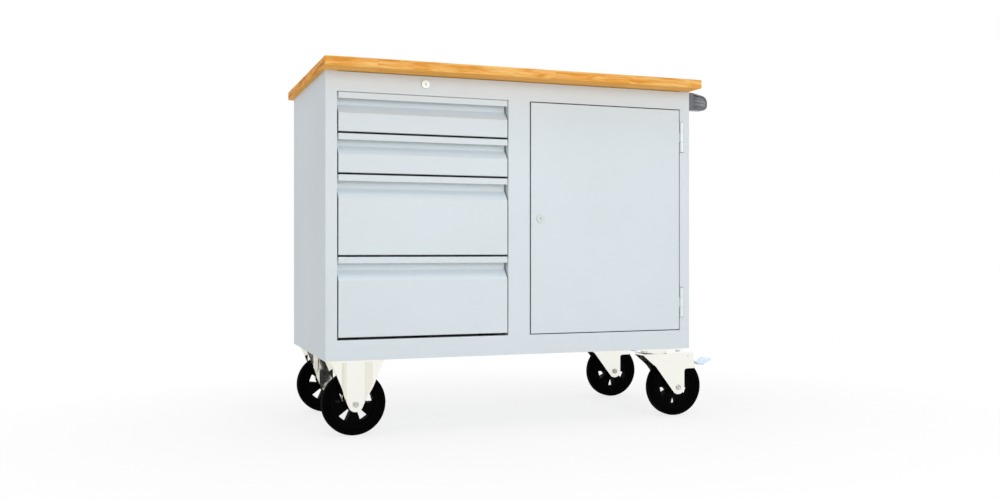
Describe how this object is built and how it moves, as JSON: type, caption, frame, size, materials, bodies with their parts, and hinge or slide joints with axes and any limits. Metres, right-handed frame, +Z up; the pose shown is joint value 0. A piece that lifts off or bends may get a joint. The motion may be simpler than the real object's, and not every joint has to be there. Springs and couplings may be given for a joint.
{
  "type": "assembly cart",
  "caption": "Mobile steel workbench with a wood worktop, a column of drawers, a hinged door cupboard, a side push handle, and fixed and braked swivel casters.",
  "frame": {"origin": "centre of the overall box in plan, on the floor under the wheels", "axes": "+X to the right seen from the front, towards the push handle; +Y to the back; +Z up"},
  "size_m": [1.0988, 0.597, 0.9154],
  "materials": {
    "cabinet_paint": "satin powder coat",
    "beech": "oiled",
    "inner_steel": "satin powder coat",
    "runner_steel": "zinc plated",
    "caster_steel": "bright zinc plated",
    "bolt_steel": "zinc plated",
    "lock_nickel": "nickel plated",
    "handle_grey": "fine grain",
    "black_plastic": "moulded",
    "tyre_rubber": "solid rubber"
  },
  "bodies": {
    "cabinet": {"worktop": "beech", "left_side_panel": "cabinet_paint", "right_side_panel": "cabinet_paint", "top_rail": "cabinet_paint", "bottom_rail": "cabinet_paint", "centre_stile": "cabinet_paint", "back_panel": "cabinet_paint", "base_panel": "cabinet_paint", "partition_panel": "cabinet_paint", "drawer_posts": "inner_steel", "top_crossbars": "inner_steel", "cabinet_rails": "runner_steel", "drawer_lock_housing": "lock_nickel", "lock_bar_guides": "black_plastic", "hinge_frame_leaves": "cabinet_paint", "hinge_pins": "bolt_steel", "shelf": "cabinet_paint", "shelf_clips": "runner_steel", "handle_brackets": "handle_grey", "handle_bar": "handle_grey", "fixed_forks": "caster_steel", "fixed_axles": "bolt_steel", "swivel_plates": "caster_steel", "mounting_bolts": "bolt_steel"},
    "drawer_1": {"drawer_1_box": "cabinet_paint", "drawer_1_front": "cabinet_paint", "drawer_1_runners": "runner_steel"},
    "drawer_1_middle": {"drawer_1_mid_rails": "runner_steel"},
    "drawer_2": {"drawer_2_box": "cabinet_paint", "drawer_2_front": "cabinet_paint", "drawer_2_runners": "runner_steel"},
    "drawer_2_middle": {"drawer_2_mid_rails": "runner_steel"},
    "drawer_3": {"drawer_3_box": "cabinet_paint", "drawer_3_front": "cabinet_paint", "drawer_3_runners": "runner_steel"},
    "drawer_3_middle": {"drawer_3_mid_rails": "runner_steel"},
    "drawer_4": {"drawer_4_box": "cabinet_paint", "drawer_4_front": "cabinet_paint", "drawer_4_runners": "runner_steel"},
    "drawer_4_middle": {"drawer_4_mid_rails": "runner_steel"},
    "door": {"door_panel": "cabinet_paint", "hinge_door_leaves": "cabinet_paint", "door_lock_housing": "lock_nickel"},
    "door_lock": {"door_lock_cylinder": "lock_nickel"},
    "drawer_lock": {"drawer_lock_cylinder": "lock_nickel"},
    "lock_bar": {"drawer_lock_bar": "runner_steel"},
    "front_left_wheel": {"front_left_rim": "black_plastic", "front_left_tyre": "tyre_rubber"},
    "front_swivel": {"front_swivel_fork": "caster_steel", "front_swivel_axle": "bolt_steel"},
    "front_right_wheel": {"front_right_rim": "black_plastic", "front_right_tyre": "tyre_rubber"},
    "front_brake": {"front_brake_pedal": "caster_steel"},
    "rear_left_wheel": {"rear_left_rim": "black_plastic", "rear_left_tyre": "tyre_rubber"},
    "rear_swivel": {"rear_swivel_fork": "caster_steel", "rear_swivel_axle": "bolt_steel"},
    "rear_right_wheel": {"rear_right_rim": "black_plastic", "rear_right_tyre": "tyre_rubber"},
    "rear_brake": {"rear_brake_pedal": "caster_steel"}
  },
  "joints": [
    {"name": "drawer_1_slide", "type": "slide", "parent": "cabinet", "child": "drawer_1", "axis": [0, -1, 0], "range_m": [0, 0.3995]},
    {"name": "drawer_1_middle_slide", "type": "slide", "parent": "cabinet", "child": "drawer_1_middle", "axis": [0, -1, 0], "range_m": [0, 0.1998]},
    {"name": "drawer_2_slide", "type": "slide", "parent": "cabinet", "child": "drawer_2", "axis": [0, -1, 0], "range_m": [0, 0.3995]},
    {"name": "drawer_2_middle_slide", "type": "slide", "parent": "cabinet", "child": "drawer_2_middle", "axis": [0, -1, 0], "range_m": [0, 0.1998]},
    {"name": "drawer_3_slide", "type": "slide", "parent": "cabinet", "child": "drawer_3", "axis": [0, -1, 0], "range_m": [0, 0.3995]},
    {"name": "drawer_3_middle_slide", "type": "slide", "parent": "cabinet", "child": "drawer_3_middle", "axis": [0, -1, 0], "range_m": [0, 0.1998]},
    {"name": "drawer_4_slide", "type": "slide", "parent": "cabinet", "child": "drawer_4", "axis": [0, -1, 0], "range_m": [0, 0.3995]},
    {"name": "drawer_4_middle_slide", "type": "slide", "parent": "cabinet", "child": "drawer_4_middle", "axis": [0, -1, 0], "range_m": [0, 0.1998]},
    {"name": "door_swing", "type": "hinge", "parent": "cabinet", "child": "door", "pos_m": [0.43785, -0.236, 0.54], "axis": [0, 0, 1], "range_deg": [0, 160]},
    {"name": "door_lock_turn", "type": "hinge", "parent": "door", "child": "door_lock", "pos_m": [0.02135, -0.236, 0.54], "axis": [0, -1, 0], "range_deg": [0, 90]},
    {"name": "drawer_lock_turn", "type": "hinge", "parent": "cabinet", "child": "drawer_lock", "pos_m": [-0.28765, -0.236, 0.8704], "axis": [0, -1, 0], "range_deg": [0, 90]},
    {"name": "lock_bar_slide", "type": "slide", "parent": "cabinet", "child": "lock_bar", "axis": [0, 0, 1], "range_m": [0, 0.01414]},
    {"name": "front_left_wheel_spin", "type": "hinge", "parent": "cabinet", "child": "front_left_wheel", "pos_m": [-0.45765, -0.181, 0.08], "axis": [0, 1, 0], "continuous": true},
    {"name": "front_swivel_turn", "type": "hinge", "parent": "cabinet", "child": "front_swivel", "pos_m": [0.38235, -0.181, 0.17], "axis": [0, 0, 1], "continuous": true},
    {"name": "front_right_wheel_spin", "type": "hinge", "parent": "front_swivel", "child": "front_right_wheel", "pos_m": [0.44235, -0.181, 0.08], "axis": [0, 1, 0], "continuous": true},
    {"name": "front_brake_press", "type": "hinge", "parent": "front_swivel", "child": "front_brake", "pos_m": [0.47235, -0.181, 0.164], "axis": [0, 1, 0], "range_deg": [0, 8]},
    {"name": "rear_left_wheel_spin", "type": "hinge", "parent": "cabinet", "child": "rear_left_wheel", "pos_m": [-0.45765, 0.209, 0.08], "axis": [0, 1, 0], "continuous": true},
    {"name": "rear_swivel_turn", "type": "hinge", "parent": "cabinet", "child": "rear_swivel", "pos_m": [0.38235, 0.209, 0.17], "axis": [0, 0, 1], "continuous": true},
    {"name": "rear_right_wheel_spin", "type": "hinge", "parent": "rear_swivel", "child": "rear_right_wheel", "pos_m": [0.44235, 0.209, 0.08], "axis": [0, 1, 0], "continuous": true},
    {"name": "rear_brake_press", "type": "hinge", "parent": "rear_swivel", "child": "rear_brake", "pos_m": [0.47235, 0.209, 0.164], "axis": [0, 1, 0], "range_deg": [0, 8]}
  ],
  "couplings": [
    {"joint": "drawer_1_middle_slide", "follows": "drawer_1_slide", "ratio": 0.5},
    {"joint": "drawer_2_middle_slide", "follows": "drawer_2_slide", "ratio": 0.5},
    {"joint": "drawer_3_middle_slide", "follows": "drawer_3_slide", "ratio": 0.5},
    {"joint": "drawer_4_middle_slide", "follows": "drawer_4_slide", "ratio": 0.5},
    {"joint": "drawer_lock_turn", "follows": "lock_bar_slide", "rad_per_m": 111.07}
  ]
}
